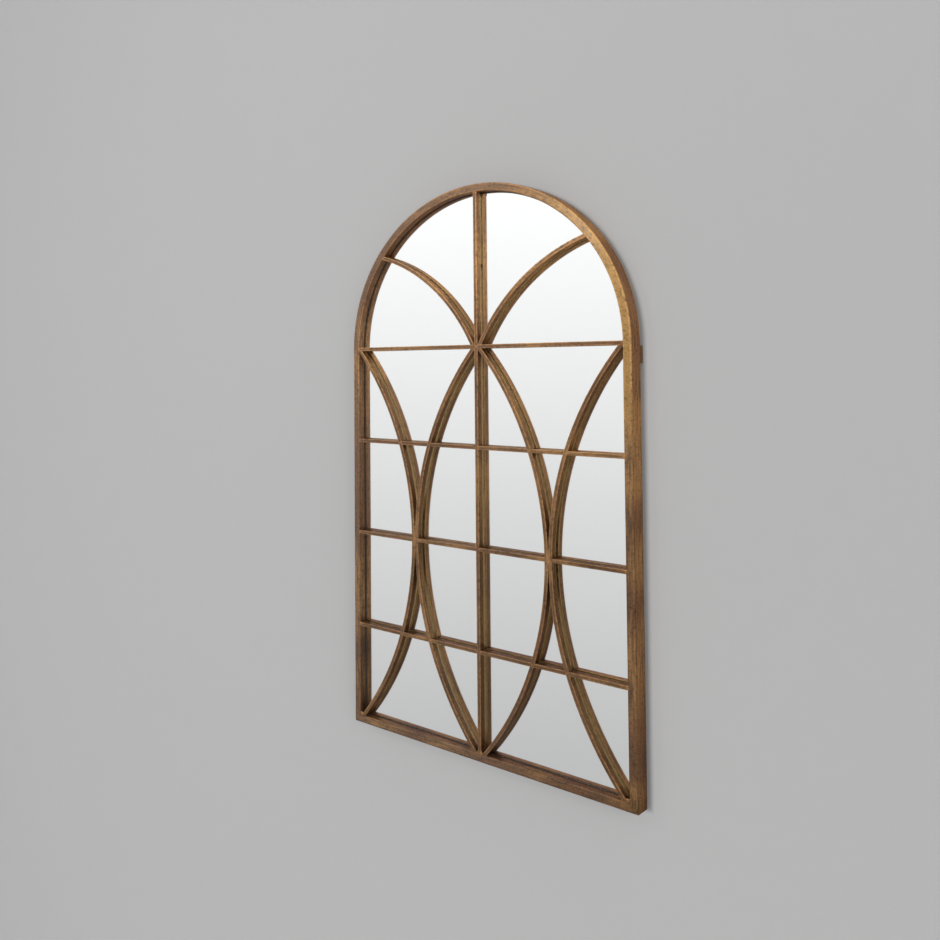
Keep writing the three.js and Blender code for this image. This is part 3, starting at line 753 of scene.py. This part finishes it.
def mirror_material():
    """Clear glass in front of the sheet's middle; behind it silver to rays inside the glass and grey
    backing paint to rays outside it; dark sealing paint on the ground edge between the two faces."""
    material, tree, output = blank_material("silvered_glass")
    place = node_chain(tree, "ShaderNodeTexCoord").outputs["Object"]
    depth = node_chain(tree, "ShaderNodeSeparateXYZ", {0: place}).outputs["Y"]
    on_back = maths(tree, "GREATER_THAN", depth, SILVER_Y)
    inside = node_chain(tree, "ShaderNodeNewGeometry").outputs["Backfacing"]
    glass = node_chain(tree, "ShaderNodeBsdfPrincipled", {
        "Base Color": (0.985, 0.995, 0.990, 1.0), "Roughness": 0.0, "IOR": 1.52, "Transmission Weight": 1.0})
    tone = node_chain(tree, "ShaderNodeTexNoise", {"Vector": place, "Scale": 3.0, "Detail": 2.0}).outputs[0]
    tint = node_chain(tree, "ShaderNodeValToRGB", {0: tone})
    tint.color_ramp.elements[0].color = (0.955, 0.962, 0.958, 1.0)
    tint.color_ramp.elements[1].color = (0.975, 0.978, 0.975, 1.0)
    silver = node_chain(tree, "ShaderNodeBsdfPrincipled", {
        "Base Color": tint.outputs[0], "Roughness": 0.0, "Metallic": 1.0})
    grain = node_chain(tree, "ShaderNodeTexNoise", {
        "Vector": place, "Scale": 300.0, "Detail": 2.0}).outputs[0]
    paint_tone = node_chain(tree, "ShaderNodeValToRGB", {0: grain})
    paint_tone.color_ramp.elements[0].color = linear(112, 114, 116)
    paint_tone.color_ramp.elements[1].color = linear(136, 138, 140)
    paint = node_chain(tree, "ShaderNodeBsdfPrincipled", {
        "Base Color": paint_tone.outputs[0], "Roughness": 0.7})
    back = node_chain(tree, "ShaderNodeMixShader", {0: inside, 1: paint.outputs[0], 2: silver.outputs[0]})
    faces = node_chain(tree, "ShaderNodeMixShader", {0: on_back, 1: glass.outputs[0], 2: back.outputs[0]})
    off_middle = maths(tree, "ABSOLUTE", maths(tree, "SUBTRACT", depth, SILVER_Y))
    on_edge = maths(tree, "LESS_THAN", off_middle, (GLASS_HIGH.y - GLASS_LOW.y) / 2 - 0.0001)
    edge = node_chain(tree, "ShaderNodeBsdfPrincipled", {"Base Color": linear(46, 34, 25), "Roughness": 0.8})
    sheet = node_chain(tree, "ShaderNodeMixShader", {0: on_edge, 1: faces.outputs[0], 2: edge.outputs[0]})
    tree.links.new(sheet.outputs[0], output.inputs["Surface"])
    return material


dress("mirror_glass", mirror_material())


def grained_material(name, first, second, scale, roughness, metallic, bump_depth):
    """Two tones mixed by a noise whose cells differ in size along x, y and z, with a matching fine bump."""
    material, tree, output = blank_material(name)
    place = node_chain(tree, "ShaderNodeTexCoord").outputs["Object"]
    stretched = node_chain(tree, "ShaderNodeMapping", {"Vector": place, "Scale": scale}).outputs[0]
    grain = node_chain(tree, "ShaderNodeTexNoise", {"Vector": stretched, "Scale": 1.0, "Detail": 6.0,
                                                    "Roughness": 0.65}).outputs[0]
    tones = node_chain(tree, "ShaderNodeValToRGB", {0: grain})
    tones.color_ramp.elements[0].position = 0.35
    tones.color_ramp.elements[1].position = 0.65
    tones.color_ramp.elements[0].color = linear(*first)
    tones.color_ramp.elements[1].color = linear(*second)
    bump = node_chain(tree, "ShaderNodeBump", {"Height": grain, "Strength": 0.5, "Distance": bump_depth})
    surface = node_chain(tree, "ShaderNodeBsdfPrincipled", {
        "Base Color": tones.outputs[0], "Roughness": roughness, "Metallic": metallic,
        "Normal": bump.outputs[0]})
    tree.links.new(surface.outputs[0], output.inputs["Surface"])
    return material


# Painted light: the pads' rubber is coloured a pale tan so that in the shaded gap behind the bars they don't
# show as dark spots.
PALE_PAD_RUBBER = grained_material("pale_pad_rubber", (124, 101, 70), (150, 123, 86), (900.0, 900.0, 900.0), 0.8, 0.0,
                          0.0002)
for pad in ("crown", "hub", "foot", "left", "right"):
    dress(f"spacer_pad_{pad}", PALE_PAD_RUBBER)


def bead_sweep():
    """Bead of sealant in the corner of frame and glass: from the frame's inner side a quarter circle curves
    down to the glass's front, and a tongue fills the gap beside the glass's edge; the section is carried
    round the opening's outline."""
    reach, tongue, embed, lift = 0.0016, 0.0009, 0.0001, 0.00004
    back = GLASS_HIGH.y - GLASS_LOW.y + lift
    turn = np.linspace(0.0, math.pi / 2, 6)
    w = np.concatenate([[-embed], reach * (1 - np.cos(turn)), [tongue, tongue, -embed]])
    y = np.concatenate([[-reach], -reach * (1 - np.sin(turn)), [0.0, back, back]])
    x, z, along = arched_outline(FRAME_FACE + w)
    return (x, np.broadcast_to(GLASS_LOW.y - lift + y, x.shape), z, np.zeros((3, len(w))), along,
            w[None, :] - y[None, :], True)


SEALANT = grained_material("dark_sealant", (34, 24, 17), (50, 37, 27), (500.0, 500.0, 500.0), 0.6, 0.0,
                           0.0001)
steel_piece("glazing_bead", [bead_sweep()], SEALANT, ())

HARDBOARD = grained_material("hardboard", (104, 78, 55), (128, 98, 71), (240.0, 240.0, 120.0), 0.75, 0.0,
                             0.0002)
dress("backing_board", HARDBOARD)

# ---------------------------------------------------------------------------------------------------------
# Retaining clips. Bent zinc-plated strip: one leg screwed to the inner side of the tube, the foot pressing
# on the board.
CLIP_COUNT = 10
ZINC = grained_material("zinc_plate", (146, 150, 152), (190, 192, 190), (220.0, 220.0, 220.0), 0.38, 0.9,
                        0.0001)
for number in range(1, CLIP_COUNT + 1):
    dress(f"retaining_clip_{number}", ZINC)

SCREW_SEAT = 0.0015
SCREW_Y = 0.0108
ARCH_CLIP_RISE = 0.05
RAIL_CLIP_RISE = 0.03


def screw_sweep(x_seat, z_seat, inward):
    """A pan-head screw, turned about an axis that points inward from the tube: radius against height runs
    over the domed head, down the shank and to a point. A cross is sunk in the head wherever the distance
    to either of two middle planes is under its half width, deepest in the middle."""
    head, rise, brim, shank, length, tip, tip_radius = 0.0032, 0.0021, 0.0004, 0.0016, 0.0070, 0.002, 0.0002
    cross, cross_reach, cross_depth = 0.00042, 0.0019, 0.0014
    dome = np.linspace(0.04, math.pi / 2, 14)
    radius = np.concatenate([head * np.sin(dome), [head, shank, shank, tip_radius]])
    height = np.concatenate([rise * np.cos(dome) ** 0.7 + brim, [0.0, 0.0, -length + tip, -length]])
    spin = np.linspace(0.0, 2 * math.pi, 64, endpoint=False)[None, :]
    radius, height = radius[:, None], height[:, None] + 0 * spin
    off_plane = radius * np.minimum(np.abs(np.sin(spin)), np.abs(np.cos(spin)))
    sunk = (off_plane < cross) & (radius < cross_reach) & (height > 0)
    height = height - np.where(sunk, cross_depth * (1 - radius / cross_reach) ** 0.5, 0.0)
    side, up = radius * np.cos(spin), radius * np.sin(spin)
    x = x_seat + inward[0] * height - inward[1] * side
    z = z_seat + inward[1] * height + inward[0] * side
    return x, SCREW_Y + up, z, np.zeros((3, spin.shape[1])), 0.003 * spin, radius, False


screws = []
for number in range(1, CLIP_COUNT + 1):
    low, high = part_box(f"retaining_clip_{number}")
    middle = np.array([low.x + high.x, low.z + high.z]) / 2
    if middle[1] > SPRING_Z + ARCH_CLIP_RISE:
        outward = (middle - (0, SPRING_Z)) / np.linalg.norm(middle - (0, SPRING_Z))
        seat = np.array([0, SPRING_Z]) + outward * OPENING_RADIUS
    elif middle[1] < RAIL_TOP_Z + RAIL_CLIP_RISE:
        outward = np.array([0.0, -1.0])
        seat = np.array([middle[0], RAIL_TOP_Z])
    else:
        outward = np.array([math.copysign(1.0, middle[0]), 0.0])
        seat = np.array([outward[0] * OPENING_RADIUS, middle[1]])
    screws.append(screw_sweep(*(seat - outward * SCREW_SEAT), -outward))
steel_piece("clip_screws", screws, ZINC, ())

# ---------------------------------------------------------------------------------------------------------
# Hanging brackets. Short folded steel channels welded behind the stiles, browned like the frame but left
# without wax, with a keyhole towards the wall.
BRACKET_PATINA = grained_material("bracket_patina", (98, 72, 44), (148, 108, 62), (60.0, 60.0, 60.0), 0.45,
                                  0.6, 0.0005)
for side in ("left", "right"):
    dress(f"hanging_bracket_{side}", BRACKET_PATINA)
